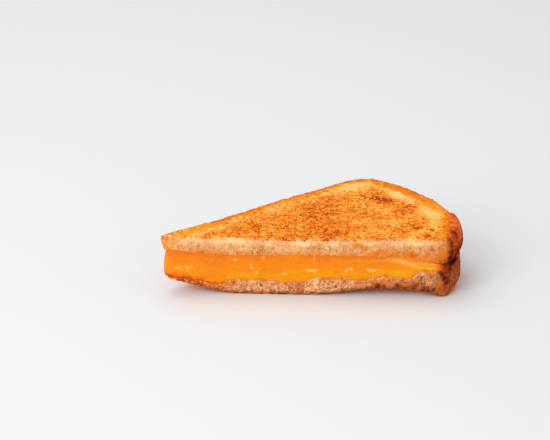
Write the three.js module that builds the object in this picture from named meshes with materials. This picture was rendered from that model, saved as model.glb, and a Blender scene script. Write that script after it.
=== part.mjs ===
// One half of a grilled cheese sandwich, cut on the diagonal: an upper and a lower slice of toasted
// bread with a thick layer of melted cheese between them.
// Millimetres, +Z up. The cut face looks along -Y, the crusts run round the back and the right end,
// and the half rests on its lower slice. The origin is the bottom centre of its box.
import * as THREE from "three";

// Driving dimensions of the half.
const HEIGHT = 28; // flat of the lower slice to the toasted top
const SHOULDER_RISE = 0.8; // the top stands this much higher at the shoulder
const LOWER_INNER = 10.6; // top of the lower slice, where the griddle has pressed it
const LOWER_RIM = 14.8; // top of the lower slice at its crust, which stays thicker
const LOWER_TIP_RIM = 12.4; // the same at the left tip
const LOWER_RISE = 1.2; // the lower slice is this much thicker at the shoulder
const UPPER_INNER = 18.6; // underside of the upper slice inside
const UPPER_RIM = 16.3; // underside of the upper slice at its crust
const UPPER_TIP_RIM = 20.6; // the same at the left tip
const RIM_REACH = 15; // how far in from the crust the slices thin down
const LAYER_GAP = 0.26; // half of the gap between bread and cheese

const UPPER_CRUST_ROUND = 4.6; // rounding of the toasted top where it meets the crust
const LOWER_CRUST_ROUND = 2.8; // the same under the lower slice
const TIP_ROUND_SHARE = 0.3; // share of that rounding left at the tip
const UPPER_CUT_ROUND = 0.9; // rounding of the toasted top where it meets the cut
const LOWER_CUT_ROUND = 0.4; // the same under the lower slice
const INNER_ROUND = 2.2; // rounding of a crust on its cheese side
const INNER_CUT_ROUND = 0.4; // rounding of the cut on its cheese side
const CRUST_BULGE = 1.1; // how far the middle of a crust stands out
const BULGE_START = 5; // distance past the cut's ends by which a crust has its full bulge

const SUNK_BAND = 0.45; // depth of the band just inside the crust of the toasted top
const SUNK_BAND_INSET = 8;
const SUNK_BAND_WIDTH = 3.5;
const FACE_WAVE = 0.25; // height of the slow waves in the faces
const FINE_WAVE = 0.12; // height of the short waves in the toasted top
const CRUMB_TEXTURE = 0.14; // height of the unevenness of cut crumb and crust

const TIP_LIFT = 8.2; // how high the lower slice curls up at the sharp left tip
const TIP_LIFT_REACH = 38; // length of that curl along X
const TIP_LIFT_SKEW = 0.25; // how much faster it runs out away from the cut
const TIP_LIFT_POWER = 1.4; // how hollow the curl is
const TIP_SLANT = 1.5; // the tip of the upper slice leans back by this down its height
const TIP_SLANT_REACH = 8;
// Height along X of the hollow under the cut edge of the lower slice.
const ARCH = [
  [62, 0], [68, 0.15], [73.4, 0.6], [78, 1], [82.6, 1.6], [87.2, 2.2], [91.8, 2.9], [96.4, 3.3], [101, 3.6],
  [105.6, 3.7], [110.2, 3.4], [114.8, 3.2], [119.4, 3], [121.7, 2.7], [124.1, 1.9], [126.4, 1.1], [129, 0.5], [132, 0],
];
const ARCH_DEPTH = 24; // how far back it reaches

// The melted cheese. It is recessed between the crusts, and at the cut it bellies out and sags over
// the lower slice in a lip, which hides the lower slice altogether near the tip and ends on the
// right in a small tongue.
const LIP_BOTTOM = [
  [0, 8.8], [9, 7.7], [18, 6.6], [22.5, 5.9], [27, 5.1], [32, 6.9], [46, 7.3], [55, 6.4], [64, 6.6], [70, 8.4],
  [73.3, 9], [82.5, 8.1], [91.7, 8], [98, 8.9], [103, 10], [108, 8.8], [112.5, 8.4], [116, 10.6], [118, 12],
  [121.5, 12.5], [126, 11.9], [128.6, 11.6], [130.2, 11.5], [131.3, 12.2], [132.2, 14.2],
];
const LIP_CLEARANCE = 0.35; // the lip hangs this far off the crumb
const LIP_EDGE = 0.5; // thickness of its bottom edge
const LIP_BELLY = 1; // how far it swells past a straight slope
const TONGUE_X = 130.4;
const TONGUE_WIDTH = 2;
const TONGUE_BELLY = 0.9;
const RECESS = 2.2; // how far in from the crust the cheese stops
const SAG_START = 0.9; // how far back the cheese face starts, under the upper slice

// Plan of the upper slice, anticlockwise from the left tip: the cut, the loaf's shoulder, the notch
// under the shoulder, the loaf's side, its square corner, and its straight base back to the tip.
const UPPER_PLAN = [
  [0, 1.2], [2.2, 0], [14, -0.1], [45, 0.2], [80, -0.2], [112, 0.1], [128.5, 0], [133.2, 1.6], [136.4, 7],
  [138, 15], [138.6, 26], [138.5, 35], [137.8, 39.8], [136, 41.9], [134.3, 42.2], [132.6, 46.2], [129.8, 53],
  [122.1, 65.6], [113.1, 77], [107.6, 82], [102, 86.4], [96.5, 88.6], [90.5, 88.8], [85, 87], [77.5, 80.2],
  [48.5, 51.8], [20.5, 23.6], [4, 5.6],
];
const SHOULDER = 10; // index in the plan of the widest point of the shoulder
const CUT_END = 6; // index in the plan of the cut's last point before the crust
const ROUND_START = 7; // index of the point where the rounded edges of the crust begin

// Mesh density.
const COLUMNS = 60; // sections from the left tip to the shoulder
const TIP_CROWDING = 0.4; // share of cosine spacing, which crowds sections at both ends
const STRIP_CROWDING = 0.5; // the same for the steps across a face
const WALL_CROWDING = 0.3; // and for the steps up a wall
const TOASTED_STEPS = 12; // steps across a toasted face
const INNER_STEPS = 10; // steps across a hidden face
const WALL_STEPS = 5; // steps up a wall
const LIP_STEPS = 2; // steps up the inside of the cheese lip
const PLAN_SAMPLES = 40; // straight steps on each span of a plan
const DISTANCE_STEP = 2; // length of the straight pieces that distances are measured to
const TANGENT_SPAN = 3; // samples to either side between which a plan's direction is taken
const WELD = 0.0005; // corners nearer than this are one corner

const { smoothstep, lerp, clamp } = THREE.MathUtils;
const bell = (x, centre, width) => Math.exp(-(((x - centre) / width) ** 2));
const bump = (x, centre, width) => smoothstep(width - Math.abs(x - centre), 0, width); // 0 past its width

// The lower slice is a little smaller than the upper one, and its tip is crushed shorter.
const LOWER_PLAN = UPPER_PLAN.map(([x, y]) => [
  x < 6 ? 2.6 + 0.62 * x : x - 0.7 * smoothstep(x, 100, 135),
  y - 0.6 * smoothstep(y, 20, 85),
]);

// A smooth value between listed [x, value] pairs: a cubic on each span, whose slope at a pair is that
// of the line between the pair's neighbours.
function along(pairs, x) {
  const last = pairs.length - 1;
  const inside = clamp(x, pairs[0][0], pairs[last][0]);
  const i = Math.max(1, pairs.findIndex(([at]) => at >= inside));
  const slope = (k) => {
    const [before, after] = [pairs[Math.max(0, k - 1)], pairs[Math.min(last, k + 1)]];
    return (after[1] - before[1]) / (after[0] - before[0]);
  };
  const [[x0, v0], [x1, v1]] = [pairs[i - 1], pairs[i]];
  const t = (inside - x0) / (x1 - x0);
  const [start, end] = [slope(i - 1) * (x1 - x0), slope(i) * (x1 - x0)];
  return v0 + start * t + (3 * (v1 - v0) - 2 * start - end) * t ** 2 + (2 * (v0 - v1) + start + end) * t ** 3;
}

// A closed plan as a fine polyline: its two halves from the left tip to the shoulder, and coarser
// lines of its cut, of its crust, and of the crust's rounded stretch.
function tracePlan(points) {
  const curve = new THREE.CatmullRomCurve3(points.map(([x, y]) => new THREE.Vector3(x, y, 0)), true);
  const line = curve.getPoints(points.length * PLAN_SAMPLES);
  const [shoulder, cutEnd, roundStart] = [SHOULDER, CUT_END, ROUND_START].map((index) => index * PLAN_SAMPLES);
  return {
    front: line.slice(0, shoulder + 1),
    back: line.slice(shoulder).reverse(),
    cut: thinned(line.slice(0, cutEnd + 1)),
    crust: thinned(line.slice(cutEnd)),
    round: thinned(line.slice(roundStart)),
  };
}

// The points of a line that are at least a step apart, and its last point.
function thinned(line) {
  const kept = [line[0]];
  for (const point of line) if (point.distanceTo(kept.at(-1)) >= DISTANCE_STEP) kept.push(point);
  return [...kept, line.at(-1)];
}

// The least distance from a place to a line's straight pieces.
function distanceTo(line, x, y) {
  let best = Infinity;
  for (let i = 0; i + 1 < line.length; i++) {
    const [start, end] = [line[i], line[i + 1]];
    const [alongX, alongY] = [end.x - start.x, end.y - start.y];
    const square = alongX ** 2 + alongY ** 2;
    const share = square && clamp(((x - start.x) * alongX + (y - start.y) * alongY) / square, 0, 1);
    best = Math.min(best, Math.hypot(x - start.x - share * alongX, y - start.y - share * alongY));
  }
  return best;
}

// The point and outward normal at a share of a path's length; side is -1 on the front path, 1 on the back.
function pathPoint(path, share, side) {
  const steps = path.slice(1).map((p, i) => p.distanceTo(path[i]));
  let left = share * steps.reduce((a, b) => a + b, 0);
  let i = 0;
  while (i < steps.length - 1 && left > steps[i]) left -= steps[i++];
  const point = path[i].clone().lerp(path[i + 1], Math.min(1, left / steps[i]));
  const near = Math.max(0, i - TANGENT_SPAN);
  const far = Math.min(path.length - 1, i + 1 + TANGENT_SPAN);
  const tangent = path[far].clone().sub(path[near]).normalize();
  const normal = new THREE.Vector3(-side * tangent.y, side * tangent.x, 0);
  if (share === 0) normal.set(-1, 0, 0);
  if (share === 1) normal.set(1, 0, 0);
  return { point, normal };
}

// How far a rounded edge of that radius has dropped, at a distance in from the edge.
const edgeDrop = (distance, radius) =>
  distance >= radius ? 0 : radius - Math.sqrt(radius ** 2 - (radius - distance) ** 2);

const upper = tracePlan(UPPER_PLAN);
const lower = tracePlan(LOWER_PLAN);

// 0 at the crust, 1 where the slices have been pressed thin.
const pressed = (x, y) => smoothstep(distanceTo(lower.crust, x, y), 0, RIM_REACH);

// Underside of the lower slice: flat, with the tip curled up and a low arch under the cut edge.
function lowerUnderside(x, y) {
  const tip = Math.max(0, 1 - (x + TIP_LIFT_SKEW * y) / TIP_LIFT_REACH);
  const arch = along(ARCH, x) * bump(Math.max(0, y), 0, ARCH_DEPTH);
  return TIP_LIFT * tip ** TIP_LIFT_POWER + arch;
}

// Where the lower slice meets the cheese.
function lowerTop(x, y) {
  const wave = FACE_WAVE * (Math.sin(x / 9) + Math.cos(y / 8));
  const inner = LOWER_INNER + LOWER_RISE * smoothstep(x, 100, 122) + wave;
  const rim = lerp(LOWER_TIP_RIM, LOWER_RIM, smoothstep(x, 12, 46));
  return lerp(rim, inner, pressed(x, y));
}

// Where the upper slice meets the cheese.
function upperUnderside(x, y) {
  const inner = UPPER_INNER + FACE_WAVE * (Math.sin(x / 11 + 1) + Math.sin(y / 9));
  const rim = lerp(UPPER_TIP_RIM, UPPER_RIM, smoothstep(x, 10, 52));
  return lerp(rim, inner, pressed(x, y));
}

// The toasted top: almost flat, a little sunk in a band just inside the crust.
function upperTop(x, y) {
  const slow = FACE_WAVE * Math.sin(x / 13 + 0.4) * Math.cos(y / 15);
  const short = FINE_WAVE * Math.sin(x / 4.3) * Math.sin(y / 3.7);
  const sunk = SUNK_BAND * bell(distanceTo(upper.crust, x, y), SUNK_BAND_INSET, SUNK_BAND_WIDTH);
  return HEIGHT + SHOULDER_RISE * smoothstep(x, 96, 128) + slow + short - sunk;
}

// A face with its crust side and its cut side rounded, the crust less so at the left tip; sign is 1
// for a top and -1 for an underside.
function rounded(height, plan, crustRadius, cutRadius, sign) {
  return (x, y) => {
    const radius = crustRadius * lerp(TIP_ROUND_SHARE, 1, smoothstep(x, 2, 24));
    const atCrust = edgeDrop(distanceTo(plan.round, x, y), radius);
    const atCut = edgeDrop(distanceTo(plan.cut, x, y), cutRadius);
    return height(x, y) - sign * Math.max(atCrust, atCut);
  };
}

// Steps from 0 to 1 that crowd at both ends by that share.
function crowded(steps, crowding) {
  return Array.from({ length: steps + 1 }, (_, i) => {
    const even = i / steps;
    return lerp(even, 0.5 - 0.5 * Math.cos(Math.PI * even), crowding);
  });
}

// The points between a front and a back corner of a section, at a height that depends on the place.
function strip(front, back, steps, height) {
  return crowded(steps, STRIP_CROWDING).slice(1, -1).map((share) => {
    const p = front.clone().lerp(back, share);
    return p.setZ(height(p.x, p.y));
  });
}

// Closed sections joined in order into one solid; corners that fall together are welded.
function loftSections(sections) {
  const corners = [];
  const known = new Map();
  const cornerOf = (p) => {
    const key = [p.x, p.y, p.z].map((v) => Math.round(v / WELD)).join();
    if (!known.has(key)) {
      known.set(key, corners.length);
      corners.push(p);
    }
    return known.get(key);
  };
  const rows = sections.map((section) => section.map(cornerOf));
  const faces = [];
  const addFace = (a, b, c) => {
    if (a !== b && b !== c && c !== a) faces.push(a, b, c);
  };
  for (let i = 0; i + 1 < rows.length; i++) {
    const [here, next] = [rows[i], rows[i + 1]];
    for (let k = 0; k < here.length; k++) {
      const m = (k + 1) % here.length;
      addFace(here[k], next[k], next[m]);
      addFace(here[k], next[m], here[m]);
    }
  }
  const geometry = new THREE.BufferGeometry();
  geometry.setAttribute("position", new THREE.Float32BufferAttribute(corners.flatMap((p) => p.toArray()), 3));
  geometry.setIndex(faces);
  geometry.computeVertexNormals();
  return geometry;
}

// A low unevenness for torn crumb and wrinkled crust, fading out at the tip.
function crumbTexture(x, y, z) {
  const wave = (a, b, c, phase) => Math.sin(a * x + b * y + c * z + phase);
  const height = CRUMB_TEXTURE * Math.min(1, x / 6);
  return height * (wave(1.9, 1.1, 2.3, 0.3) * wave(-0.7, 2.3, 1.1, 1.7) + 0.6 * wave(3.1, -1.3, 0.9, 4.1));
}

// How far a crust's wall stands out at the middle of its height: nothing at the cut and the tip.
function bulgeAt(plan, { x, y }) {
  return CRUST_BULGE * smoothstep(distanceTo(plan.cut, x, y), 0, BULGE_START) * smoothstep(x, 22, 45);
}

// A slice of bread between two face heights over its plan; its tip leans back by the slant.
function breadSlice(plan, top, underside, topSteps, undersideSteps, slant) {
  const wall = (share, side) => {
    const { point, normal } = pathPoint(side < 0 ? plan.front : plan.back, share, side);
    const low = underside(point.x, point.y);
    const high = top(point.x, point.y);
    return crowded(WALL_STEPS, WALL_CROWDING).map((rise) => {
      const z = lerp(low, high, rise);
      const out = bulgeAt(plan, point) * (1 - (2 * rise - 1) ** 2) + crumbTexture(point.x, point.y, z);
      const lean = slant * (1 - rise) * (1 - smoothstep(point.x, 0, TIP_SLANT_REACH));
      const p = point.clone().addScaledVector(normal, out);
      return p.set(p.x + lean, p.y, z);
    });
  };
  const sections = crowded(COLUMNS, TIP_CROWDING).map((share) => {
    const [front, back] = [wall(share, -1), wall(share, 1).reverse()];
    return [
      ...front,
      ...strip(front.at(-1), back[0], topSteps, top),
      ...back,
      ...strip(back.at(-1), front[0], undersideSteps, underside),
    ];
  });
  return loftSections(sections);
}

// The melted cheese, as sections like a slice's, with the inside of the lip as a wall of its own.
function cheeseLayer() {
  const top = (x, y) => upperUnderside(x, y) - LAYER_GAP;
  const underside = (x, y) => lowerTop(x, y) + LAYER_GAP;

  const face = (share, side) => {
    const { point, normal } = pathPoint(side < 0 ? lower.front : lower.back, share, side);
    // how much of a lip there is: all along the cut, and round the left tip
    const lip = 1 - (side < 0 ? smoothstep(point.x, 130.2, 132.6) : smoothstep(point.x, 5, 26));
    const forward = smoothstep(lip, 0, 0.4); // the cheese comes out past the crumb first
    const hang = smoothstep(lip, 0.6, 1); // and only then hangs down over it
    const ripple = 0.2 * Math.sin(point.x / 5.2) + 0.15 * Math.sin(point.x / 2.3 + 1);
    const tongue = side < 0 ? TONGUE_BELLY * bell(point.x, TONGUE_X, TONGUE_WIDTH) : 0;
    const wallOut = lerp(-RECESS, LIP_CLEARANCE + bulgeAt(lower, point), forward);
    const startOut = lerp(-RECESS + 0.2, -SAG_START, forward);
    const belly = lerp(0.5, LIP_BELLY + ripple + tongue, forward);
    const at = (out) => point.clone().addScaledVector(normal, out);
    const [start, seat] = [at(startOut), at(wallOut)];
    const high = top(start.x, start.y);
    const rest = underside(seat.x, seat.y);
    const low = lerp(rest, Math.min(rest, along(LIP_BOTTOM, point.x)), hang);
    const outer = crowded(WALL_STEPS, WALL_CROWDING).map((rise) => {
      const swell = belly * Math.sin(Math.PI * rise) ** 0.6;
      return at(lerp(wallOut + LIP_EDGE, startOut, rise) + swell).setZ(lerp(low, high, rise));
    });
    const inner = Array.from({ length: LIP_STEPS }, (_, i) => at(wallOut).setZ(lerp(low, rest, (i + 1) / LIP_STEPS)));
    return { outer, inner };
  };

  const sections = crowded(COLUMNS, TIP_CROWDING).map((share) => {
    const [front, back] = [face(share, -1), face(share, 1)];
    return [
      ...front.outer,
      ...strip(front.outer.at(-1), back.outer.at(-1), INNER_STEPS, top),
      ...back.outer.toReversed(),
      ...back.inner,
      ...strip(back.inner.at(-1), front.inner.at(-1), INNER_STEPS, underside),
      ...front.inner.toReversed(),
    ];
  });
  return loftSections(sections);
}

function piece(name, geometry, color, roughness) {
  const mesh = new THREE.Mesh(geometry, new THREE.MeshStandardMaterial({ color, roughness, metalness: 0 }));
  mesh.name = name;
  return mesh;
}

const lowerSlice = breadSlice(
  lower,
  rounded((x, y) => lowerTop(x, y) - LAYER_GAP, lower, INNER_ROUND, INNER_CUT_ROUND, 1),
  rounded(lowerUnderside, lower, LOWER_CRUST_ROUND, LOWER_CUT_ROUND, -1),
  INNER_STEPS,
  TOASTED_STEPS,
  0,
);
const upperSlice = breadSlice(
  upper,
  rounded(upperTop, upper, UPPER_CRUST_ROUND, UPPER_CUT_ROUND, 1),
  rounded((x, y) => upperUnderside(x, y) + LAYER_GAP, upper, INNER_ROUND, INNER_CUT_ROUND, -1),
  TOASTED_STEPS,
  INNER_STEPS,
  TIP_SLANT,
);

const sandwich = new THREE.Group();
sandwich.name = "grilled_cheese_half";
sandwich.add(
  piece("lower_slice", lowerSlice, "#c98345", 0.8),
  piece("cheese", cheeseLayer(), "#f6921d", 0.35),
  piece("upper_slice", upperSlice, "#e79440", 0.75),
);

// The origin is the bottom centre of the whole box.
const box = new THREE.Box3().setFromObject(sandwich, true);
const centre = box.getCenter(new THREE.Vector3());
sandwich.position.set(-centre.x, -centre.y, -box.min.z);

export default sandwich;
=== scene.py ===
# Half a grilled cheese sandwich: two toasted slices of bread with melted cheese between. Shapes are in
# millimetres from the left tip of the cut (x along it, y back, z up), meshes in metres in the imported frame.
import bpy
import math
import numpy as np
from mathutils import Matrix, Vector


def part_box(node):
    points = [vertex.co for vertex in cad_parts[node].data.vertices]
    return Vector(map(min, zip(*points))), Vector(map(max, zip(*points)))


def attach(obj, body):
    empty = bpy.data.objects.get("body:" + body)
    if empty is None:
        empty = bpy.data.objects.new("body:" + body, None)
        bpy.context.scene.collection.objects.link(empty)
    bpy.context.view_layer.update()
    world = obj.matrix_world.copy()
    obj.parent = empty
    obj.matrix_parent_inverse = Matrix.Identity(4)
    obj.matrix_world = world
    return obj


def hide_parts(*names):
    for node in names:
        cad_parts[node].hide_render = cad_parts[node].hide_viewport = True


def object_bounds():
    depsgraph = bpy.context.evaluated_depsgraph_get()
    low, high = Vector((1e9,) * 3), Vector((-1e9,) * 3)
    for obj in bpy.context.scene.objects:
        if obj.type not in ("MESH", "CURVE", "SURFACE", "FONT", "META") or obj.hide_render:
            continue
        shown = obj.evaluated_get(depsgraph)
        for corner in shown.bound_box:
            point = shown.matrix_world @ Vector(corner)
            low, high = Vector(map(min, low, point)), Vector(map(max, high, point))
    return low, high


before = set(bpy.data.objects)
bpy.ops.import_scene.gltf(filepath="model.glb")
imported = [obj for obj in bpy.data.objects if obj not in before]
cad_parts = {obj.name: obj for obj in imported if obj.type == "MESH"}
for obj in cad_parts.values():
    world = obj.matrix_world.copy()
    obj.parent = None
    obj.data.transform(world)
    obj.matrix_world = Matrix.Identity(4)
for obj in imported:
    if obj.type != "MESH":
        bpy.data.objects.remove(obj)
cadLow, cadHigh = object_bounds()
print("frame loaded with", ", ".join(sorted(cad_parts)))

milli = 0.001

# shared shape of the half

half = {
    "height": 28,  # flat of the lower slice to the toasted top
    "shoulderRise": 0.8,  # the top is higher by this towards the shoulder
    "shoulderFall": 0.9,  # and falls by this at the back of it
    "lowerInner": 10.6,  # where the griddle has pressed it thin
    "lowerRim": 14.8,  # its top at the crust
    "lowerTipRim": 12.4,  # the same at the left tip
    "lowerRise": 1.2,  # how much thicker it is at the shoulder
    "upperInner": 18.6,
    "upperRim": 16.3,
    "upperTipRim": 20.6,
    "rimReach": 15,  # the slices thin down this far in from the crust
    "crustRound": 4.6,
    "lowerCrustRound": 2.8,
    "tipRound": 0.3,  # share of the rounding at the left tip
    "cutRound": 0.9,
    "lowerCutRound": 0.4,
    "innerRound": 2.2,
    "innerCutRound": 0.4,
    "crustBulge": 1.1,
    "faceWave": 0.25,  # height of the slow waves in the faces
    "fineWave": 0.12,
    "sunkBand": 0.45,  # the top sinks by this just inside the crust
    "tipLift": 8.2,  # the lower slice curls up at the left tip
    "tipLiftReach": 38,
    "tipSlant": 1.5,  # the upper slice's tip leans back by this at its foot
    "tipSlantReach": 8,
    "cutProud": 0.426,  # the upper slice's torn edge stands proud by this
    # height along x of the hollow under the cut edge
    "arch": [
        (62, 0), (68, 0.15), (73.4, 0.6), (78, 1), (82.6, 1.6), (87.2, 2.2), (91.8, 2.9), (96.4, 3.3),
        (101, 3.6), (105.6, 3.7), (110.2, 3.4), (114.8, 3.2), (119.4, 3), (121.7, 2.7), (124.1, 1.9),
        (126.4, 1.1), (129, 0.5), (132, 0),
    ],
    "archDepth": 24,
    # the outline, anticlockwise: the cut, the shoulder, the side, the square corner, the straight base
    "outline": [
        (0, 1.2), (2.2, 0), (14, -0.1), (45, 0.2), (80, -0.2), (112, 0.1), (128.5, 0), (133.2, 1.6),
        (136.4, 7), (138, 15), (138.6, 26), (138.5, 35), (137.8, 39.8), (136, 41.9), (134.3, 42.2),
        (132.6, 46.2), (129.8, 53), (122.1, 65.6), (113.1, 77), (107.6, 82), (102, 86.4), (96.5, 88.6),
        (90.5, 88.8), (85, 87), (77.5, 80.2), (48.5, 51.8), (20.5, 23.6), (4, 5.6),
    ],
    "shoulder": 10,  # index of the outline's rightmost point
    "cutEnd": 6,  # index of the cut's last point before the crust
    "samples": 40,  # steps between two outline points
    "tipCrowding": 0.3,  # how much the rings crowd at both ends
    "stripCrowding": 0.45,  # and the points at the edges of a face
    "upperBrownStart": 38,  # steps past the cut's end where the crust's brown begins
    "lowerBrownStart": 26,
    "roundStart": 40,  # and where the slices' rounded edges begin
    # bottom edge along x of the cheese on the cut
    "lipBottom": [
        (0, 8.8), (5, 8.3), (13.3, 7.3), (18, 6.6), (22.5, 5.9), (27, 5.1), (30, 5.9), (32, 6.9), (36.4, 6.8),
        (46, 7.3), (50.5, 7.3), (55, 6.4), (64, 6.6), (67.3, 7.1), (70, 8.4), (73.3, 9), (78, 8.6),
        (82.5, 8.1), (91.7, 8), (96.3, 8.6), (100, 9.2), (103.2, 10.2), (105.5, 9.8), (108, 8.8),
        (110.5, 8.4), (112.5, 8.4), (114.7, 9.2), (116, 10.7), (117.8, 12), (121.5, 12.5), (124.2, 11.9),
        (126.2, 12.3), (128, 12.8), (129.4, 12.5), (130.6, 11.8), (131.4, 12.1), (132.2, 14.2),
    ],
}


def smooth(x, low, high):
    # 0 below low, 1 above high, and 3t^2 - 2t^3 between them
    t = np.clip((x - low) / (high - low), 0, 1)
    return t * t * (3 - 2 * t)


def fade(x, low, high):
    return 1 - smooth(x, low, high)


def mixed(a, b, share):
    return a + (b - a) * share


def bell(x, middle, width):
    return np.exp(-(((x - middle) / width) ** 2))


def unit(vectors):
    return vectors / np.maximum(np.linalg.norm(vectors, axis=-1, keepdims=True), 1e-9)


def valueAlong(pairs, x):
    # a cubic between listed (x, value) pairs; the slope at a pair is that of the line between its neighbours
    at, value = np.array(pairs, float).T
    index = np.arange(len(at))
    before, after = np.maximum(index - 1, 0), np.minimum(index + 1, len(at) - 1)
    slope = (value[after] - value[before]) / (at[after] - at[before])
    left = np.clip(np.searchsorted(at, x, side="right") - 1, 0, len(at) - 2)
    span, climb = at[left + 1] - at[left], value[left + 1] - value[left]
    start, end = slope[left] * span, slope[left + 1] * span
    t = np.clip((x - at[left]) / span, 0, 1)
    return value[left] + start * t + (3 * climb - 2 * start - end) * t**2 + (start + end - 2 * climb) * t**3


def crowded(steps, crowding):
    # even steps from 0 to 1, blended by that share with half a cosine wave, which crowds both ends
    even = np.linspace(0, 1, steps + 1)
    return mixed(even, 0.5 - 0.5 * np.cos(np.pi * even), crowding)


# seeded noise

hashPrimes = (374761393, 668265263, 2147483647, 1274126177)
wordMask = 0xFFFFFFFF


def cellRandom(cells, seed):
    # a number from 0 to 1 a cell: its indices times large primes, with the high bits folded in twice
    bits = sum(cells[..., i] * hashPrimes[i] for i in range(3)) + seed * hashPrimes[3]
    bits = bits & wordMask
    bits = ((bits ^ (bits >> 13)) * hashPrimes[3]) & wordMask
    return (bits ^ (bits >> 16)) / wordMask


def waves(points, size, seed, octaves=1, fall=0.5):
    # noise from -1 to 1: random numbers on a lattice of that size, joined by the smooth cubic along x, y and
    # z; each further octave has half the size and fall times the height
    total, height, reach = 0, 1, 0
    for octave in range(octaves):
        place = points / (size * 0.5**octave)
        cells = np.floor(place).astype(np.int64)
        part = place - cells
        part = part * part * (3 - 2 * part)
        value = 0
        for corner in np.ndindex(2, 2, 2):
            weight = np.prod(np.where(corner, part, 1 - part), axis=-1)
            value = value + weight * cellRandom(cells + np.array(corner), seed + octave)
        total = total + height * (2 * value - 1)
        reach += height
        height *= fall
    return total / reach


def pits(points, size, seed, share, radius):
    # round pits, 0 outside and 1 at the middle: that share of the cells holds one, at a random place with
    # a random radius, and a point takes the deepest of the 27 cells round it, 1 - (d / r)^2
    place = points / size
    cells = np.floor(place).astype(np.int64)
    deepest = np.zeros(points.shape[:-1])
    for step in np.ndindex(3, 3, 3):
        cell = cells + np.array(step) - 1
        middle = cell + np.stack([cellRandom(cell, seed + k) for k in (1, 2, 3)], -1)
        reach = mixed(*radius, cellRandom(cell, seed + 4))
        reach = np.where(cellRandom(cell, seed + 5) < share, reach, 1e-3)
        depth = 1 - ((place - middle) ** 2).sum(-1) / reach**2
        deepest = np.maximum(deepest, depth)
    return deepest


# outlines


def tracedOutline(points, brownStart):
    # a closed centripetal Catmull-Rom curve: on each span a cubic whose end tangents weigh the neighbouring
    # chords by the square roots of their lengths
    p1 = np.array(points, float)
    p0, p2, p3 = np.roll(p1, 1, 0), np.roll(p1, -1, 0), np.roll(p1, -2, 0)
    pairs = ((p0, p1), (p1, p2), (p2, p3))
    d0, d1, d2 = (np.sqrt(np.linalg.norm(b - a, axis=1))[:, None] for a, b in pairs)
    t1 = ((p1 - p0) / d0 - (p2 - p0) / (d0 + d1) + (p2 - p1) / d1) * d1
    t2 = ((p2 - p1) / d1 - (p3 - p1) / (d1 + d2) + (p3 - p2) / d2) * d1
    t = np.linspace(0, 1, half["samples"], endpoint=False)[:, None, None]
    line = p1 + t1 * t + (3 * (p2 - p1) - 2 * t1 - t2) * t**2 + (2 * (p1 - p2) + t1 + t2) * t**3
    line = line.transpose(1, 0, 2).reshape(-1, 2)
    line = np.concatenate([line, line[:1]])
    shoulder, cutEnd = half["shoulder"] * half["samples"], half["cutEnd"] * half["samples"]
    return {
        "front": line[: shoulder + 1],
        "back": line[shoulder:][::-1],
        "cut": line[: cutEnd + 1],
        "crust": line[cutEnd:],
        "brown": line[cutEnd + brownStart:],
        "round": line[cutEnd + half["roundStart"]:],
    }


def lengthAlong(line):
    return np.concatenate([[0], np.cumsum(np.linalg.norm(np.diff(line, axis=0), axis=1))])


def pathAt(line, shares, side):
    # the point at each share of a line's length, and its outward normal: the tangent turned a quarter, which
    # swings round to face along x at both ends
    length = lengthAlong(line)
    at = shares * length[-1]
    reach, swing = 0.6, 3

    def placeAt(distance):
        return np.stack([np.interp(distance, length, line[:, i]) for i in (0, 1)], -1)

    tangent = placeAt(at + reach) - placeAt(at - reach)
    normal = side * unit(np.stack([-tangent[:, 1], tangent[:, 0]], -1))
    for end, fromEnd in ((-1, at), (1, length[-1] - at)):
        normal = unit(mixed(np.array([end, 0]), normal, smooth(fromEnd, 0, swing)[:, None]))
    return placeAt(at), normal


def distanceTo(line, places, step=2):
    # the least distance from each place to a line: the place is dropped square onto each straight step, or
    # onto its nearer end
    length = lengthAlong(line)
    at = np.linspace(0, length[-1], int(length[-1] / step) + 2)
    x, y = places[..., 0], places[..., 1]
    lineX, lineY = np.interp(at, length, line[:, 0]), np.interp(at, length, line[:, 1])
    best = np.full(x.shape, np.inf)
    for startX, startY, alongX, alongY in zip(lineX, lineY, np.diff(lineX), np.diff(lineY)):
        awayX, awayY = x - startX, y - startY
        share = np.clip((awayX * alongX + awayY * alongY) / (alongX**2 + alongY**2), 0, 1)
        best = np.minimum(best, (awayX - share * alongX) ** 2 + (awayY - share * alongY) ** 2)
    return np.sqrt(best)


def edgeDrop(distance, radius):
    # the drop of a rounded edge at a distance in from it: r - sqrt(r^2 - (r - distance)^2)
    inside = np.clip(radius - distance, 0, radius)
    return radius - np.sqrt(radius**2 - inside**2)


upperOutline = tracedOutline(half["outline"], half["upperBrownStart"])
# the lower slice is a little smaller than the upper one, and its tip is crushed shorter
lowerOutline = tracedOutline([
    (2.6 + 0.62 * x if x < 6 else x - 0.7 * smooth(x, 100, 135), y - 0.6 * smooth(y, 20, 85))
    for x, y in half["outline"]
], half["lowerBrownStart"])


def pressed(places):
    return smooth(distanceTo(lowerOutline["crust"], places), 0, half["rimReach"])


def lowerUnderside(places):
    # flat, with the left tip curled up and a low arch under the cut edge
    x, y = places[..., 0], places[..., 1]
    tip = np.maximum(0, 1 - (x + 0.25 * y) / half["tipLiftReach"])
    depth = half["archDepth"]
    arch = valueAlong(half["arch"], x) * smooth(depth - np.maximum(0, y), 0, depth)
    return half["tipLift"] * tip**1.4 + arch


def lowerTop(places):
    x, y = places[..., 0], places[..., 1]
    wave = half["faceWave"] * (np.sin(x / 9) + np.cos(y / 8))
    inner = half["lowerInner"] + half["lowerRise"] * smooth(x, 100, 122) + wave
    rim = mixed(half["lowerTipRim"], half["lowerRim"], smooth(x, 12, 46))
    return mixed(rim, inner, pressed(places))


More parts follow.
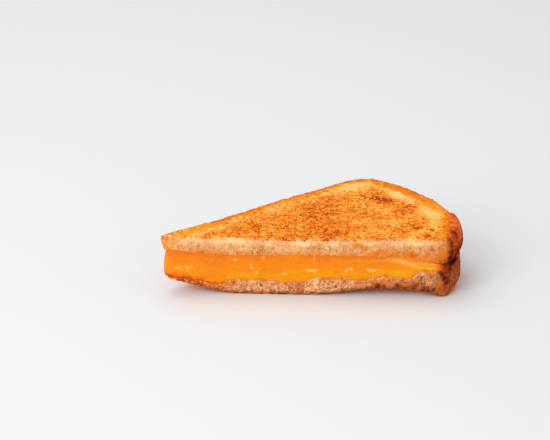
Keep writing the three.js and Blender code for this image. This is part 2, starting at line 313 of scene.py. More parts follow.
def upperUnderside(places):
    x, y = places[..., 0], places[..., 1]
    inner = half["upperInner"] + half["faceWave"] * (np.sin(x / 11 + 1) + np.sin(y / 9))
    rim = mixed(half["upperTipRim"], half["upperRim"], smooth(x, 10, 52))
    return mixed(rim, inner, pressed(places))


def upperTop(places):
    x, y = places[..., 0], places[..., 1]
    slow = half["faceWave"] * np.sin(x / 13 + 0.4) * np.cos(y / 15)
    short = half["fineWave"] * np.sin(x / 4.3) * np.sin(y / 3.7)
    rise = half["shoulderRise"] * smooth(x, 96, 128)
    fall = half["shoulderFall"] * smooth(x, 131, 134.5) * smooth(y, 16, 34)
    sunk = half["sunkBand"] * bell(distanceTo(upperOutline["crust"], places), 8, 3.5)
    return half["height"] + rise + slow + short - sunk - fall


def rounded(height, outline, crustRadius, cutRadius, sign):
    # a face with rounded crust and cut sides, less so at the left tip; sign is 1 for a top, else -1
    def shaped(places):
        radius = crustRadius * mixed(half["tipRound"], 1, smooth(places[..., 0], 2, 24))
        atCrust = edgeDrop(distanceTo(outline["round"], places), radius)
        atCut = edgeDrop(distanceTo(outline["cut"], places), cutRadius)
        return height(places) - sign * np.maximum(atCrust, atCut)

    return shaped


# meshes from rings of points

originX = cadLow.x / milli  # the left tip of the cut
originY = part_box("upper_slice")[0].y / milli + half["cutProud"]  # the line of the cut


def toFrame(points):
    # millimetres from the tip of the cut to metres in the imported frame
    return (points + np.array([originX, originY, 0])) * milli


def ringNormals(rings):
    # the cross product of the step to the next ring and the step along the ring
    along = np.gradient(rings, axis=0)
    around = np.roll(rings, -1, 1) - np.roll(rings, 1, 1)
    return unit(np.cross(along, around))


def placed(name, data):
    thing = bpy.data.objects.new(name, data)
    bpy.context.scene.collection.objects.link(thing)
    return thing


def ringMesh(name, rings, **values):
    # quads join neighbouring rings, or triangles where points fall together and are welded; each value gives
    # a number for every point
    weld = 0.002
    around = rings.shape[1]
    flat = rings.reshape(-1, 3)
    cells = np.round(flat / weld).astype(np.int64)
    _, first, index = np.unique(cells, axis=0, return_index=True, return_inverse=True)
    index = index.reshape(-1, around)
    here, there = index[:-1], index[1:]
    quads = np.stack([here, there, np.roll(there, -1, 1), np.roll(here, -1, 1)], -1).reshape(-1, 4)
    same = quads == np.roll(quads, -1, 1)
    whole = quads[~same.any(1)]
    folded = quads[same.sum(1) == 1]
    triangles = folded[~same[same.sum(1) == 1]].reshape(-1, 3)
    mesh = bpy.data.meshes.new(name)
    mesh.from_pydata(toFrame(flat[first]), [], whole.tolist() + triangles.tolist())
    for label, numbers in values.items():
        attribute = mesh.attributes.new(label, "FLOAT", "POINT")
        attribute.data.foreach_set("value", numbers.reshape(-1)[first].astype(np.float32))
    mesh.validate()
    mesh.shade_smooth()
    print(f"{name}: {len(mesh.vertices)} points")
    return placed(name, mesh)


def strip(start, end, steps, height):
    # the rows of points between two rows, at a face's height
    share = crowded(steps, half["stripCrowding"])[1:-1]
    places = mixed(start[:, None, :2], end[:, None, :2], share[:, None])
    return np.concatenate([places, height(places)[..., None]], -1)


def fadedEnds(rings):
    # 0 at the end rings, and 1 from the third ring in
    count = np.arange(len(rings))
    return smooth(np.minimum(count, count[::-1]), 0, 3)[:, None]


def spotSum(across, up, spots):
    # soft spots added up: each one's strength times a bell across and a bell up
    return sum(s * bell(across, a, w) * bell(up, b, h) for a, b, w, h, s in spots)


# node helpers


def newMaterial(name):
    material = bpy.data.materials.new(name)
    material.use_nodes = True
    tree = material.node_tree
    return material, tree, tree.nodes["Principled BSDF"]


def feed(node, inputs):
    # links a socket to an input, and sets the input to anything else
    for key, value in inputs.items():
        if isinstance(value, bpy.types.NodeSocket):
            node.id_data.links.new(value, node.inputs[key])
        else:
            node.inputs[key].default_value = value


def addNode(tree, kind, inputs, **settings):
    node = tree.nodes.new("ShaderNode" + kind)
    for key, value in settings.items():
        setattr(node, key, value)
    feed(node, inputs)
    return node


def mask(tree, label):
    return addNode(tree, "Attribute", {}, attribute_name=label).outputs["Fac"]


def noiseOf(tree, sizeMm, detail, roughness, stretch=(1, 1, 1)):
    # noise on the object's own coordinates, with features of that size in millimetres
    place = addNode(tree, "TexCoord", {}).outputs["Object"]
    if stretch != (1, 1, 1):
        place = addNode(tree, "Mapping", {"Vector": place, "Scale": stretch}).outputs["Vector"]
    inputs = {"Vector": place, "Scale": 1 / (sizeMm * milli), "Detail": detail, "Roughness": roughness}
    return addNode(tree, "TexNoise", inputs).outputs["Fac"]


def calc(operation, a, b, c=0, clamp=False):
    # this and the helpers below add to the tree of the first socket they are given
    return addNode(a.id_data, "Math", {0: a, 1: b, 2: c}, operation=operation, use_clamp=clamp).outputs[0]


def scaled(a, factor, base, clamp=False):
    return calc("MULTIPLY_ADD", a, factor, base, clamp)


def spread(base, *layers):
    # the base plus, for each (noise, strength), the noise about its middle times the strength
    for noise, strength in layers:
        base = scaled(calc("SUBTRACT", noise, 0.5), strength, base)
    return base


def rangeOf(value, start, end):
    # a smooth passage between two (value, result) pairs
    return addNode(value.id_data, "MapRange", {
        "Value": value, "From Min": start[0], "From Max": end[0], "To Min": start[1], "To Max": end[1],
    }, interpolation_type="SMOOTHSTEP").outputs[0]


def rampOf(factor, stops):
    # a colour ramp with (place, sRGB colour) stops
    node = addNode(factor.id_data, "ValToRGB", {"Fac": factor})
    band = node.color_ramp
    while len(band.elements) < len(stops):
        band.elements.new(0.5)
    for element, (place, colour) in zip(band.elements, stops):
        element.position = place
        element.color = linear(colour)
    return node.outputs["Color"]


def linear(colour):
    # an sRGB colour, with channels up to 255, as a shader's linear colour
    share = np.array(colour, float) / 255
    return (*np.where(share <= 0.04045, share / 12.92, ((share + 0.055) / 1.055) ** 2.4), 1)


def blend(factor, colour, other):
    # passes by the factor from one colour to another, which may be an sRGB colour
    other = linear(other) if isinstance(other, tuple) else other
    return addNode(factor.id_data, "Mix", {0: factor, 6: colour, 7: other}, data_type="RGBA").outputs[2]


def blendInStages(share, quickness, colour, others):
    # passes quickly to the first of two other colours as the share grows, and later to the second
    colour = blend(calc("MULTIPLY", share, quickness, clamp=True), colour, others[0])
    return blend(scaled(share, 1.8, -0.8, clamp=True), colour, others[1])


def dress(shader, look, colour, rough, shine, height):
    # gives a shader its colour, roughness, shine and bumps, and light that wanders under its surface
    bumps = addNode(height.id_data, "Bump", {**look["bumps"], "Height": height}).outputs["Normal"]
    feed(shader, {"Base Color": colour, "Roughness": rough, "Specular IOR Level": shine, "Normal": bumps})
    for key, value in zip(("Weight", "Radius", "Scale"), look["subsurface"]):
        shader.inputs["Subsurface " + key].default_value = value


# toasted bread

bread = {
    "columns": 440,
    "cutSteps": 32,  # up the cut face
    "toastSteps": 118,  # across a toasted face
    "backSteps": 20,
    "hiddenSteps": 22,
    "wallCrowding": 0.25,
    "toastColours": [
        (0, (255, 202, 118)), (0.2, (252, 173, 52)), (0.4, (247, 150, 34)), (0.58, (238, 122, 12)),
        (0.74, (216, 90, 8)), (0.88, (170, 54, 10)), (1, (104, 30, 10)),
    ],
    # size in millimetres, detail, roughness and stretch: fine, middle and wide noise, and cut marks
    "noises": [(0.8, 2, 0.6), (1.8, 3, 0.6), (8, 3, 0.55), (1.3, 2, 0.5, (1, 1, 0.3))],
    "blotchColour": (220, 86, 20),
    "rimColours": ((244, 146, 12), (220, 100, 14)),  # yellowish, then a deeper orange
    "edgeColour": (170, 84, 30),  # of the crumb along the toasted face
    "soakedColour": (229, 119, 20),
    # nearly burned spots, and painted shade in the pinch and under the cheese's tongue
    "burntColour": (84, 12, 8),
    "bumps": {"Strength": 0.5, "Distance": 0.00025},
    "subsurface": (0.1, (1, 0.45, 0.18), 0.0014),  # weight, reach of red, green and blue, scale
}

upperBread = {
    "outline": upperOutline,
    "toastedUp": True,
    "tipSlant": half["tipSlant"],
    "seed": 100,
    "poreDepth": 0.5,
    "soak": 1.7,  # the crumb is soaked this far from the cheese
    "overEdge": 0.25,  # the toasted colour comes this far over the edge
    "tipToast": (0.65, 0.5, 8),  # toasted share of the tip's cut, and where along x it fades
    "browning": 0.47,
    "cutBrowning": 0.12,
    "shoulderBrown": 3.8,  # the crust's brown comes this much further in at the shoulder
    "broadRim": 2.2,  # and the orange rim by this on the right
    "paleRim": [(127.5, 41, 5.5, 9, 0.62)],  # where the rim is paler: x, y, width, depth, share
    # browner (positive) and paler patches of the toasted face: x, y, radius, strength
    "patches": [
        (102.5, 55, 4.2, 0.4), (97, 58, 4, 0.14), (82, 51, 6, 0.12), (68.5, 36, 8, 0.16), (74, 24, 9, 0.12),
        (77, 12, 10, 0.16), (80, 1, 7, 0.1), (45, 8, 9, 0.08), (63, 6, 7, 0.14), (117, 46, 4, 0.2),
        (111, 39, 4.5, 0.16), (118, 15, 5, 0.16), (122, 6, 3, 0.14), (93, 33, 8, 0.08), (89, 76, 8, -0.36),
        (110, 62, 6, -0.38), (125, 35, 5.5, -0.34), (108, 23, 5, -0.16), (52, 45, 7, -0.12),
        (28, 26, 8, -0.06), (10, 6, 9, -0.06), (101, 43, 5, -0.1), (115.5, 18, 1.2, 0.4), (112, 9, 0.9, 0.4),
        (118.2, 14.2, 1.5, 0.7), (124.6, 11.8, 1.5, 0.75), (122.4, 4.9, 1.3, 0.8), (117.6, 2.6, 1.2, 0.6),
        (127, 10, 1.1, 0.6), (121, 26.4, 1.2, 0.45), (101.2, 56.2, 1.8, 0.25), (105.2, 53.4, 1.8, 0.3),
    ],
    # darker (positive) and paler parts of the crumb: x, z, width, height, strength
    "crumbShade": [
        (30, 25.5, 14, 1.6, -0.12), (66.3, 25.9, 3.4, 1.6, -0.5), (84, 23.5, 10, 1.4, 0.1),
        (104, 25.5, 8, 1.2, -0.16), (116, 22.5, 12, 3, 0.1), (118, 26, 5, 1.2, -0.14),
        (125, 26, 7, 1.7, -0.32), (130, 22, 5, 5, 0.34), (129, 18.5, 4, 2.2, 0.2), (50, 22.5, 3, 1.4, 0.14),
        (75, 22, 5, 1, 0.12), (14, 23.5, 11, 3, 0.16),
    ],
    # stains of butter and cheese in the crumb: x, z, width, height, strength
    "stains": [
        (91.7, 24.2, 2.2, 1.3, 1.4), (90.2, 25.5, 1, 0.7, 0.5), (101, 21.2, 6, 1.5, 1.15),
        (114, 20.8, 4, 1.5, 0.95), (107, 20.2, 14, 1.3, 0.9), (123, 18.6, 9, 1.9, 0.95),
        (129, 21.5, 4.5, 4, 1), (124.2, 23.7, 1.2, 0.8, 0.7), (130.5, 25, 2.2, 3.5, 0.7),
        (104, 23.5, 13, 2, 0.28), (122, 22.8, 1, 0.6, 0.5), (69.6, 20, 2.4, 1.2, 1.5),
        (59.4, 22.6, 0.9, 0.9, 0.5), (3, 24.5, 6, 4, 0.75), (26, 20.6, 14, 0.7, 0.4),
    ],
    # nearly burned spots, and painted shade in the pinch between the slices: x, y, z, radius, strength
    "burnt": [
        (135.2, 10.5, 27.6, 2.4, 1), (134.5, 5.5, 26.4, 1.6, 0.6), (133.2, 2, 25.6, 2.4, 0.85),
        (133.4, 0.8, 22.2, 1.9, 0.9), (136.8, 16.4, 27, 1.6, 0.6), (136.6, 9, 23.5, 1.5, 0.7),
        (131, 0.5, 16.6, 1.4, 0.9), (133.2, 1.6, 17.4, 2.4, 0.95), (136, 6, 17.6, 2.6, 1),
        (135.5, 4, 21.5, 1.4, 0.5), (135.4, 8.2, 26.6, 2.6, 0.75), (136.2, 7.2, 24.6, 2.4, 0.6),
        (135.5, 4, 23.6, 2, 0.45), (133.5, 1.6, 25, 1.6, 0.6), (135.6, 9, 26.5, 5, 0.3),
        (134.4, 3.5, 24, 3.5, 0.4), (136.5, 12, 24, 5, 0.25), (115.8, 0, 20, 1.5, 0.3),
        (124.8, 0, 23.3, 1.1, 0.35), (128.6, 0, 17.6, 0.9, 0.5), (130.8, 0.2, 18, 1.1, 0.6),
        (132.6, 0.5, 19.1, 1.4, 0.9), (133.4, 0.8, 21, 1.3, 0.6),
    ],
    "crumb": [(0, (254, 216, 156)), (0.3, (240, 182, 114)), (0.6, (224, 156, 88)), (1, (184, 108, 48))],
    "crumbTan": (228, 162, 120),  # a pinker crumb in places
    "poreDark": 0.25,
    "grainy": 1.2,  # contrast of the finest grain in the crumb
    "crumbDepth": 0.45,
    "glow": 0.25,  # painted highlight: the crumb is paler by this just below the toasted face's rounded edge
    "shadeLow": 0.12,  # and darker by this next to the cheese
    "edgeDark": 0,
    "edgeReach": 1,
    "crust": [
        (0.08, (250, 138, 30)), (0.32, (232, 96, 24)), (0.54, (184, 60, 18)), (0.78, (118, 32, 12)),
        (1, (56, 14, 8)),
    ],
    "wrinkled": 0.16,
    "wrinkleStretch": (0.8, 0.8, 1),  # above 1, wrinkles are closer along x, y or z
    "crustDark": 0.04,
}

lowerBread = {
    "outline": lowerOutline,
    "toastedUp": False,
    "tipSlant": 0,
    "seed": 300,
    "poreDepth": 0.75,
    "soak": 1,
    "overEdge": 0.15,
    "tipToast": (0.9, 18, 30),
    "browning": 0.62,
    "cutBrowning": 0.55,  # browner by this along the edge of the cut
    "shoulderBrown": 0,
    "broadRim": 0,
    "paleRim": [],
    "crumbShade": [
        (104, 6, 9, 2.4, 0.26), (84, 5, 9, 3, -0.14), (55, 2.4, 9, 1.6, 0.14), (119, 5, 7, 2.2, 0.3),
        (63.9, 3.6, 1.9, 2.6, 0.7), (100.5, 5.5, 4, 2.2, 0.2), (114.5, 5.5, 4.5, 2.8, 0.45),
        (127.5, 5, 3, 3, 0.25), (107.5, 4.4, 3.5, 1.4, 0.3), (120.5, 4.6, 4, 1.4, 0.3),
        (116, 8.5, 12, 4, 0.14), (130, 5.5, 3, 5, 0.34), (45, 4, 5, 3, -0.06), (34, 4, 4, 2.5, 0.2),
    ],
    "patches": [
        (16, 1, 9, 0.2), (30, 20, 12, -0.2), (70, 40, 14, 0.15), (100, 30, 12, -0.15), (110, 60, 10, 0.12),
        (60, 12, 9, -0.1),
    ],
    "stains": [
        (34, 7, 3, 1.6, 0.6), (17, 6.2, 14, 2.6, 0.7), (63.9, 4, 1.8, 2.6, 0.75), (92, 4.2, 6, 1.5, 0.6),
        (101, 6, 5, 2, 0.6), (127.5, 3.5, 3, 3.5, 0.6), (42, 7.4, 4, 0.8, 0.6), (105.5, 9, 2.5, 1, 0.5),
        (88, 8, 8, 0.7, 0.3), (114, 5, 12, 1.6, 0.25), (110, 7, 13, 3, 0.42), (25, 3.4, 6, 1.6, 0.6),
        (53, 7.8, 4, 0.7, 0.5), (129, 6, 1.6, 9, 0.5),
    ],
    # nearly burned spots, and painted shadow under the cheese's tongue and in the pinch: x, y, z, radius,
    # strength
    "burnt": [
        (38.7, 0.5, 0.8, 1.4, 0.8), (41.5, 0.5, 0.9, 1.1, 0.7), (51.2, 0.3, 0.6, 1.1, 0.8),
        (54.9, 0.3, 0.7, 1.1, 0.8), (57.2, 0.3, 0.8, 1.2, 0.8), (46, 0.5, 0.6, 1, 0.6),
        (65, 0.5, 0.7, 1, 0.6), (63.4, 0.1, 5.6, 0.9, 0.3), (74.8, 0, 1.2, 1.2, 0.5), (79, 0.5, 1.6, 1, 0.5),
        (84.9, 0, 2.8, 1.2, 0.35), (89.5, 0.1, 3.2, 1.3, 0.4), (100.3, 0.5, 5.2, 1.8, 0.95),
        (102.8, 0.5, 5, 1.2, 0.8), (95, 0.5, 4, 1.4, 0.7), (98, 0.5, 7, 0.8, 0.5), (108.8, 0.5, 5.2, 1.6, 1),
        (105.5, 0.5, 8.4, 0.9, 0.6), (112.5, 0.5, 4.2, 1.2, 0.7), (91, 0.5, 3.2, 1, 0.5),
        (116.6, 0.5, 4.2, 1.6, 0.8), (121.2, 0.5, 3.8, 1.5, 0.9), (124, 0.5, 3.2, 1.5, 0.9),
        (126.7, 0.5, 6, 1, 0.6), (118.5, 0.5, 5.4, 0.8, 0.5), (111, 0.5, 8.5, 0.8, 0.4),
        (128.5, 0.5, 4, 1.2, 0.6), (128.4, 0, 12.2, 1.1, 0.9), (129.4, 0.1, 11.2, 1.4, 1),
        (130.6, 0.1, 9.6, 1.6, 1), (131.6, 0.3, 7.4, 1.4, 1), (133, 1.6, 13.4, 1.8, 0.9),
        (134, 2.8, 15, 2.2, 1), (137, 8, 14.5, 1.6, 0.8), (123, 0, 3.3, 1.2, 0.9), (125.6, 0, 3.6, 1.3, 0.9),
        (127.5, 0, 1.6, 1.2, 0.8), (97.3, 0, 4.4, 1.1, 0.7), (132, 1, 0.5, 3.6, 0.55),
        (130, 0.5, 1.5, 2.4, 0.4), (34.1, 0, 6.2, 0.8, 0.6), (88, 0, 2.9, 0.9, 0.6), (46, 0, 4.1, 0.6, 0.5),
        (26, 0.4, 2.4, 1.4, 0.4), (13.6, 0.3, 4, 0.8, 0.7), (17, 0.4, 3.4, 0.7, 0.4), (34, 0, 1.4, 1.2, 0.5),
    ],
    "crumb": [(0, (250, 208, 152)), (0.3, (232, 170, 112)), (0.6, (206, 132, 80)), (1, (138, 66, 32))],
    "crumbTan": (222, 154, 120),
    "poreDark": 0.55,
    "grainy": 2.1,
    "crumbDepth": 0.38,
    "glow": 0,
    "shadeLow": -0.08,
    "edgeDark": 0.75,
    "edgeReach": 1.8,
    "crust": [
        (0.08, (228, 136, 64)), (0.32, (208, 108, 52)), (0.56, (182, 84, 42)), (0.82, (138, 54, 28)),
        (1, (76, 24, 14)),
    ],
    "wrinkled": 0.24,
    "wrinkleStretch": (1.25, 1.25, 0.6),
    "crustDark": 0,
}


def spotsAt(rings, spots):
    # the strongest of soft round spots: strength times a bell of the distance from a spot's middle
    total = np.zeros(rings.shape[:-1])
    for x, y, z, radius, strength in spots:
        away = np.linalg.norm(rings - np.array([x, y, z]), axis=-1)
        total = np.maximum(total, strength * bell(away, 0, radius))
    return total


def breadRings(look, top, underside):
    # rings from the left tip to the shoulder, each up the front wall, back over the top, down the back wall
    # and forward underneath; a wall bulges by a parabola up its height
    outline = look["outline"]
    shares = crowded(bread["columns"], half["tipCrowding"])
    topSteps, underSteps = bread["toastSteps"], bread["hiddenSteps"]
    if not look["toastedUp"]:
        topSteps, underSteps = underSteps, topSteps

    def wall(line, side, steps):
        at, normal = pathAt(line, shares, side)
        low, high = underside(at)[:, None], top(at)[:, None]
        rise = crowded(steps, bread["wallCrowding"])
        bulge = half["crustBulge"] * smooth(distanceTo(outline["cut"], at), 0, 5) * smooth(at[:, 0], 22, 45)
        out = bulge[:, None] * (1 - (2 * rise - 1) ** 2)
        places = at[:, None] + normal[:, None] * out[..., None]
        slant = look["tipSlant"] * fade(at[:, :1], 0, half["tipSlantReach"])
        places[..., 0] += slant * (1 - rise) ** 2
        return np.concatenate([places, mixed(low, high, rise)[..., None]], -1)

    front = wall(outline["front"], -1, bread["cutSteps"])
    back = wall(outline["back"], 1, bread["backSteps"])
    return np.concatenate([
        front,
        strip(front[:, -1], back[:, -1], topSteps, top),
        back[:, ::-1],
        strip(back[:, 0], front[:, 0], underSteps, underside),
    ], 1)


def breadPiece(name, look, top, underside):
    # the rings, moved along their normals by the relief: a weighted sum of noise, pits and wrinkles
    outline, seed, toastedUp = look["outline"], look["seed"], look["toastedUp"]
    rings = breadRings(look, top, underside)
    normals = ringNormals(rings)
    places, (x, y, height) = rings[..., :2], np.moveaxis(rings, -1, 0)
    coarse = waves(rings, 3, seed + 10, 2)
    fine = waves(rings, 0.9, seed + 20, 2)
    fromCut, fromCrust, fromBrown = (distanceTo(outline[side], places) for side in ("cut", "crust", "brown"))
    broadRim = look["broadRim"] * smooth(x, 92, 108)
    rimShare = fade(fromBrown + 1.6 * coarse - broadRim, 4.4, 8)
    rimShare = rimShare * mixed(0.2, 1, smooth(fromCut, 2, 12))
    rimShare = rimShare * smooth(x, 4, 26) * (1 - spotSum(x, y, look["paleRim"]))
    onShoulder = smooth(x, 127, 132) * smooth(y, 1, 7) * fade(y, 35, 43)
    fromBrown = fromBrown - look["shoulderBrown"] * onShoulder
    if toastedUp:
        facing, toastSide = normals[..., 2], top(places) - height
        fromCheese = height - underside(places)
    else:
        facing, toastSide = -normals[..., 2], height - underside(places)
        fromCheese = valueAlong(half["lipBottom"], x) - height

    # shares of toasted face, crust and crumb: the toasted face turns raggedly over the edge of the cut
    overEdge = smooth(look["overEdge"] + 0.6 * coarse + 0.5 * fine - toastSide, -0.4, 0.6)
    tipToast, tipFrom, tipTo = look["tipToast"]
    overEdge = np.maximum(overEdge, tipToast * fade(x + 1.5 * coarse, tipFrom, tipTo))
    toast = np.maximum(smooth(facing, 0.35, 0.8), overEdge)
    toast = toast * smooth(fromCut + 0.6 * coarse + 0.5 * fine, -0.6, 0.4) * smooth(facing, -0.9, -0.5)
    # the crust is brown near the edge, and further in where the surface tilts
    crustByDistance = fade(fromBrown + 0.9 * coarse + 0.5 * fine, 0.4, 2.6)
    tilted = smooth(1 - np.abs(normals[..., 2]) + 0.06 * coarse, 0.06, 0.4)
    frontal = smooth(-normals[..., 1], 0.5, 0.9)
    crustByTilt = tilted * fade(fromBrown, 4.5, 6.5) * smooth(fromCut, 4.5, 7.5) * (1 - frontal)
    behind = smooth(normals[..., 1], 0.3, 0.7) * smooth(x, 1, 4)
    crust = np.maximum(crustByDistance, crustByTilt) * np.maximum(behind, mixed(0.25, 1, smooth(x, 4, 20)))
    besideCut = smooth(x, 120, 126) * fade(y, 0.8, 2.4)
    onCut = np.maximum(fade(fromCut, 0.5, 1.6), besideCut)
    crumb = np.clip(1 - toast - crust, 0, 1)

    # holes and pores in the crumb, grain in the toasted face, wrinkles and creases in the crust
    holes = pits(rings * np.array([1, 1, 1.25]), 2.5, seed + 30, 0.5, (0.22, 0.55))
    pores = pits(rings * np.array([1, 1, 1.2]), 1.15, seed + 40, 0.85, (0.25, 0.6))
    grain = pits(rings, 1.9, seed + 50, 0.9, (0.3, 0.62))
    openness = waves(rings, 7, seed + 60)
    pore = np.clip(0.75 * holes * (0.7 + 0.5 * openness) + 0.6 * pores, 0, 1)
    stretch = np.array(look["wrinkleStretch"])
    wrinkle = waves(rings * stretch, 4.2, seed + 70, 3, 0.55)
    crease = (1 - np.abs(waves(rings * 0.8 * stretch, 3.4, seed + 80, 2))) ** 4

    calm = mixed(0.7, 1, smooth(fromCheese, 0, 1.5))  # the crumb is smoother along the cheese
    relief = (
        crumb * calm * (0.32 * coarse + 0.2 * fine - look["poreDepth"] * pore)
        + toast * (0.12 * coarse - 0.3 * grain + 0.08 * fine)
        + rimShare * (0.25 * coarse + 0.25 * fine)
        + crust * (look["wrinkled"] * (1.4 * wrinkle - crease) + 0.08 * fine)
    ) * fadedEnds(rings)

    # the toasted face: patches, mottling, a paler band inside the rim, a browner edge along the cut
    patch = spotSum(x, y, [(a, b, r, r, s) for a, b, r, s in look["patches"]])
    paleBand = bell(fromCrust, 10.5 + 0.7 * broadRim, 3.5) * mixed(0.45, 1, smooth(x, 55, 95))
    browning = look["browning"] + patch + 0.19 * waves(rings, 7, seed + 90, 3) - 0.35 * paleBand
    browning = browning + look["cutBrowning"] * bell(fromCut, 0, 2.5) * smooth(x, 8, 40)
    # soaked crumb: along the cheese, in the stains, and beside the crust on the right
    rightCrust = smooth(x, 60, 120)
    soak = 1.1 * bell(np.maximum(fromCheese, 0), 0, look["soak"]) * (0.8 + 0.8 * coarse)
    stain = np.maximum(spotSum(x, height, look["stains"]), 0.7 * bell(fromBrown, 1.5, 2.2) * rightCrust)
    patchy = 0.8 + 0.6 * coarse + 0.6 * fine - 0.4 * pore
    stain = np.clip(np.maximum(soak, stain) * patchy, 0, 0.95) * onCut
    # where it is darker or paler, with a painted highlight just below the toasted face
    shade = spotSum(x, height, look["crumbShade"]) + look["shadeLow"] * smooth(toastSide, 3.5, 8)
    # painted highlight where the cut's top edge rounds over
    shade = shade - look["glow"] * bell(toastSide, 1.2, 1.6)
    shade = shade + 0.4 * bell(fromBrown + 1.2 * coarse, 1.5, 3.2) * rightCrust
    # burned spots, and painted shade in the pinch between the slices and under the cheese's tongue
    burnt = np.clip(spotsAt(rings + 0.7 * coarse[..., None], look["burnt"]), 0, 1)
    shaped = rings + normals * relief[..., None]
    shaped[..., 2] = np.maximum(shaped[..., 2], 0)  # it lies flat on what it rests on
    return ringMesh(
        name, shaped, toast=toast, crust=crust, pore=pore, grain=grain, browning=browning, stain=stain,
        burnt=burnt, shade=shade, rim=rimShare, toastSide=np.clip(toastSide, 0, 20), wrinkle=wrinkle - crease,
    )


def breadMaterial(name, look):
    material, tree, shader = newMaterial(name)
    toast, crust, pore = (mask(tree, label) for label in ("toast", "crust", "pore"))
    fineNoise, midNoise, wideNoise, cutMarks = (noiseOf(tree, *noise) for noise in bread["noises"])

    # the toasted face: its browning, broken up by grain; the pits stay paler
    brown = spread(mask(tree, "browning"), (midNoise, 1.8), (fineNoise, 1.9))
    brown = scaled(mask(tree, "grain"), -0.28, brown)
    toastTint = rampOf(brown, bread["toastColours"])
    # reddish blotches where it is browned
    browned = calc("SUBTRACT", mask(tree, "browning"), 0.38)
    blotch = spread(browned, (noiseOf(tree, 3.2, 2, 0.5), 4))
    blotch = calc("MULTIPLY", blotch, 0.5, clamp=True)
    toastTint = blend(blotch, toastTint, bread["blotchColour"])
    # the rim where the face turns down to the crust
    rimShare = calc("MULTIPLY", mask(tree, "rim"), spread(0.8, (midNoise, 2)), clamp=True)
    toastTint = blendInStages(rimShare, 1.7, toastTint, bread["rimColours"])

    # the crumb: pale, with painted shade in its pores, darker towards the toasted side, with butter and
    # cheese soaked in
    layers = ((fineNoise, look["grainy"]), (wideNoise, 1.2), (midNoise, 1.3), (cutMarks, 1))
    pale = spread(look["crumbDepth"], *layers)
    # painted shade: darker in the pores
    pale = scaled(pore, look["poreDark"], pale)
    pale = calc("ADD", pale, mask(tree, "shade"))
    crumbTint = rampOf(pale, look["crumb"])
    pink = spread(0.35, (noiseOf(tree, 5, 3, 0.6), 2.6))
    crumbTint = blend(calc("MULTIPLY", pink, 0.7, clamp=True), crumbTint, look["crumbTan"])
    edge = spread(mask(tree, "toastSide"), (midNoise, 2.2))
    edge = rangeOf(edge, (0.1, look["edgeDark"]), (look["edgeReach"], 0))
    crumbTint = blend(edge, crumbTint, bread["edgeColour"])
    soaked = calc("MULTIPLY", mask(tree, "stain"), spread(0.85, (midNoise, 2.2)), clamp=True)
    crumbTint = blend(soaked, crumbTint, bread["soakedColour"])

    # the crust: orange where it leaves the toasted face, then dark and wrinkled, with painted shade in its
    # creases
    crustNoise = noiseOf(tree, 2.6, 3, 0.6, look["wrinkleStretch"])
    # painted shade: darker in the creases and paler on the raised wrinkles
    dark = scaled(mask(tree, "wrinkle"), -0.06, spread(0.5, (crustNoise, 0.9)))
    dark = spread(dark, (fineNoise, 0.9), (wideNoise, 0.6))
    nearToast, farFromToast = (0.2, look["crustDark"] - 0.25), (5, look["crustDark"] + 0.12)
    dark = calc("ADD", dark, rangeOf(mask(tree, "toastSide"), nearToast, farFromToast))
    crustTint = rampOf(dark, look["crust"])

    colour = blend(toast, crumbTint, toastTint)
    colour = blend(crust, colour, crustTint)
    # the burned spots' colour, also painted shade in the pinch and under the cheese's tongue
    colour = blend(mask(tree, "burnt"), colour, bread["burntColour"])
    rough = scaled(toast, -0.3, 0.86)
    rough = scaled(crust, -0.16, rough)
    rough = spread(rough, (midNoise, 0.3))
    shine = scaled(mask(tree, "burnt"), -0.03, 0.03)
    height = scaled(midNoise, 0.5, fineNoise)
    dress(shader, bread, colour, rough, shine, height)
    return material


gap = 0.26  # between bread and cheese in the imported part
upperToast = breadPiece(
    "upperToast",
    upperBread,
    rounded(upperTop, upperOutline, half["crustRound"], half["cutRound"], 1),
    rounded(lambda p: upperUnderside(p) + gap, upperOutline, half["innerRound"], half["innerCutRound"], -1),
)
lowerToast = breadPiece(
    "lowerToast",
    lowerBread,
    rounded(lambda p: lowerTop(p) - gap, lowerOutline, half["innerRound"], half["innerCutRound"], 1),
    rounded(lowerUnderside, lowerOutline, half["lowerCrustRound"], half["lowerCutRound"], -1),
)
upperToast.data.materials.append(breadMaterial("upperCrumb", upperBread))
lowerToast.data.materials.append(breadMaterial("lowerCrumb", lowerBread))
print("bread made")

# melted cheese

